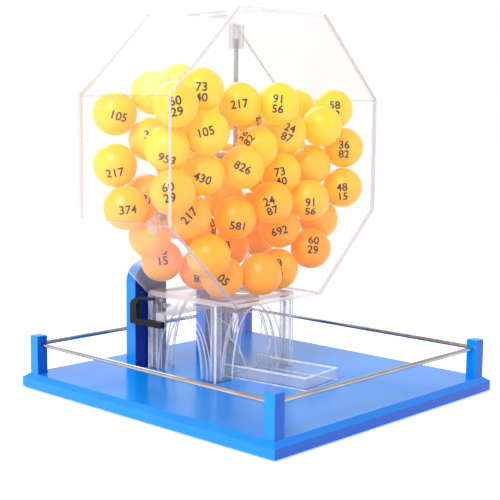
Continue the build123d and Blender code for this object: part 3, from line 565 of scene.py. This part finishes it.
def stamp(centre, text, tilt, turn, lean, verts, faces):
    """Wraps a text on the ball at centre. tilt: roll of the text, turn and lean: degrees off the camera's line."""
    size = 11.0 if "\n" not in text else 11.2
    if text not in glyphs:
        glyphs[text] = glyph_mesh(text, size)
    vs, fs = glyphs[text]
    c = Vector(centre)
    n = (CAM - c).normalized()
    side = Vector((0, 0, 1)).cross(n).normalized()
    upv = n.cross(side)
    q = Matrix.Rotation(math.radians(turn), 3, upv) @ Matrix.Rotation(math.radians(lean), 3, side)
    n2, s2, u2 = q @ n, q @ side, q @ upv
    ct, st = math.cos(math.radians(tilt)), math.sin(math.radians(tilt))
    e1 = s2 * ct + u2 * st
    e2 = -s2 * st + u2 * ct
    base = len(verts)
    rr = BALL_R + 0.06
    for x, y, _ in vs:
        ang = math.hypot(x, y) / BALL_R
        if ang < 1e-9:
            p = n2
        else:
            dirv = (e1 * x + e2 * y).normalized()
            p = n2 * math.cos(ang) + dirv * math.sin(ang)
        verts.append((c + p * rr) / 1000.0)
    faces.extend([[base + i for i in f] for f in fs])


def prints(name, balls, given):
    verts, faces = [], []
    for i, c in enumerate(balls):
        if i < len(given):
            text, tilt, turn, lean = given[i]
        else:
            text = random.choice(TEXTS)
            tilt, turn, lean = random.uniform(0, 360), random.uniform(-70, 70), random.uniform(-50, 50)
        stamp(c, text, tilt, turn, lean, verts, faces)
        # a second print on the far side of each ball
        stamp(c, random.choice(TEXTS), random.uniform(0, 360), 180 + random.uniform(-40, 40), random.uniform(-30, 30), verts, faces)
    me = bpy.data.meshes.new(name)
    me.from_pydata([tuple(v) for v in verts], [], faces)
    me.update()
    for p in me.polygons:
        p.use_smooth = True
    ob = bpy.data.objects.new(name, me)
    bpy.context.scene.collection.objects.link(ob)
    ob.data.materials.append(INK)
    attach(ob, "frame")
    return ob


TEXTS = ["105", "36\n82", "217", "48\n15", "374", "60\n29", "581", "73\n40", "692", "91\n56"]
FRONT_PRINTS = [
    ("60\n29", 10, 2.5, 4.9),
    ("73\n40", 0, 0.0, 4.9),
    ("953", -20, 0.0, 28.3),
    ("105", 15, -2.5, -2.5),
    ("217", 8, 0.0, 0.0),
    ("91\n56", -5, 0.0, 0.0),
    ("24\n87", -20, 7.4, 2.5),
    ("692", 40, 150.0, 20.0),
    ("58\n03", 0, 4.9, 0.0),
    ("36\n82", 0, 2.5, 4.9),
    ("48\n15", 5, 0.0, 12.4),
    ("60\n29", 10, -9.9, 0.0),
    ("430", -20, 0.0, 12.4),
    ("826", -25, 0.0, 0.0),
    ("73\n40", 10, 0.0, 9.9),
    ("105", 40, 150.0, 20.0),
    ("91\n56", 0, 4.9, 20.2),
    ("217", 48, 0.0, 0.0),
    ("581", -5, 7.4, 22.8),
    ("24\n87", 20, -2.5, 9.9),
    ("692", 15, 0.0, 9.9),
    ("430", 40, 150.0, 20.0),
    ("953", 40, 150.0, 20.0),
    ("105", -40, 0.0, 4.9),
    ("217", 40, 150.0, 20.0),
    ("48\n15", 8, -2.5, -2.5),
    ("60\n29", -5, 7.4, -9.9),
]
BACK_PRINTS = [
    ("105", -15, 12.4, 7.4),
    ("36\n82", 5, 0.0, 0.0),
    ("217", 10, 0.0, 20.2),
    ("374", 5, 7.4, 4.9),
    ("581", -15, -7.4, 9.9),
    ("692", 40, 150.0, 20.0),
    ("48\n15", 8, 0.0, -12.4),
    ("430", 40, 150.0, 20.0),
    ("826", 40, 150.0, 20.0),
    ("374", 20, -4.9, 2.5),
    ("581", 40, 150.0, 20.0),
    ("953", 40, 150.0, 20.0),
    ("374", 40, 150.0, 20.0),
    ("826", 40, 150.0, 20.0),
    ("58\n03", 10, -9.9, 9.9),
    ("36\n82", 0, 0.0, 12.4),
    ("374", 40, 150.0, 20.0),
    ("581", 40, 150.0, 20.0),
]

print_front = prints("ball_numbers_front", FRONT_BALLS, FRONT_PRINTS)
print_back = prints("ball_numbers_back", BACK_BALLS, BACK_PRINTS)

# ------------------------------------------------------------------ studio
def mesh_obj(name, vs, fs):
    me = bpy.data.meshes.new(name)
    me.from_pydata(vs, [], fs)
    me.update()
    ob = bpy.data.objects.new(name, me)
    bpy.context.scene.collection.objects.link(ob)
    return ob


mat, nt, b = new_mat("studio_floor")
co = coords(nt)
nt.links.new(ramp(nt, noise(nt, co, 2.0), [(0.3, (0.90, 0.90, 0.905)), (0.7, (0.92, 0.92, 0.925))]), b.inputs["Base Color"])
b.inputs["Roughness"].default_value = 0.6
b.inputs["Emission Color"].default_value = (1.0, 1.0, 1.0, 1.0)
b.inputs["Emission Strength"].default_value = 0.36
floor = mesh_obj("studio_floor", [(-9, -9, 0), (9, -9, 0), (9, 9, 0), (-9, 9, 0)], [(0, 1, 2, 3)])
floor.data.materials.append(mat)

world = bpy.data.worlds.new("studio")
bpy.context.scene.world = world
world.use_nodes = True
wn = world.node_tree
wn.nodes.clear()
wout = wn.nodes.new("ShaderNodeOutputWorld")
bg = wn.nodes.new("ShaderNodeBackground")
tc = wn.nodes.new("ShaderNodeTexCoord")
sep = wn.nodes.new("ShaderNodeSeparateXYZ")
wn.links.new(tc.outputs["Generated"], sep.inputs[0])
wr = wn.nodes.new("ShaderNodeValToRGB")
wr.color_ramp.elements[0].position = 0.0
wr.color_ramp.elements[0].color = (1.0, 1.0, 1.0, 1)
wr.color_ramp.elements[1].position = 1.0
wr.color_ramp.elements[1].color = (0.55, 0.57, 0.62, 1)
e = wr.color_ramp.elements.new(0.28)
e.color = (0.985, 0.985, 0.99, 1)
e = wr.color_ramp.elements.new(0.5)
e.color = (0.86, 0.87, 0.90, 1)
wn.links.new(sep.outputs["Z"], wr.inputs["Fac"])
dim = wn.nodes.new("ShaderNodeMapRange")
dim.inputs["From Min"].default_value = -0.9
dim.inputs["From Max"].default_value = -0.1
dim.inputs["To Min"].default_value = 0.55
dim.inputs["To Max"].default_value = 1.0
wn.links.new(sep.outputs["Y"], dim.inputs["Value"])
mul = wn.nodes.new("ShaderNodeVectorMath")
mul.operation = "SCALE"
wn.links.new(wr.outputs["Color"], mul.inputs[0])
wn.links.new(dim.outputs["Result"], mul.inputs["Scale"])
wn.links.new(mul.outputs[0], bg.inputs["Color"])
bg.inputs["Strength"].default_value = 1.0
wn.links.new(bg.outputs[0], wout.inputs["Surface"])


def area(name, loc, target, size, power, color=(1, 1, 1)):
    l = bpy.data.lights.new(name, "AREA")
    l.shape = "RECTANGLE"
    l.size, l.size_y = size
    l.energy = power
    l.color = color
    ob = bpy.data.objects.new(name, l)
    bpy.context.scene.collection.objects.link(ob)
    ob.location = loc
    ob.rotation_euler = (Vector(target) - Vector(loc)).to_track_quat("-Z", "Y").to_euler()
    return ob


area("key", (-1.5, -0.5, 1.5), (0, 0, 0.2), (1.0, 1.0), 26.0)
area("fill", (0.9, -1.6, 1.0), (0, 0, 0.2), (1.2, 1.2), 4.0)
area("rim", (0.6, 1.6, 1.4), (0, 0, 0.25), (1.2, 0.8), 10.0)

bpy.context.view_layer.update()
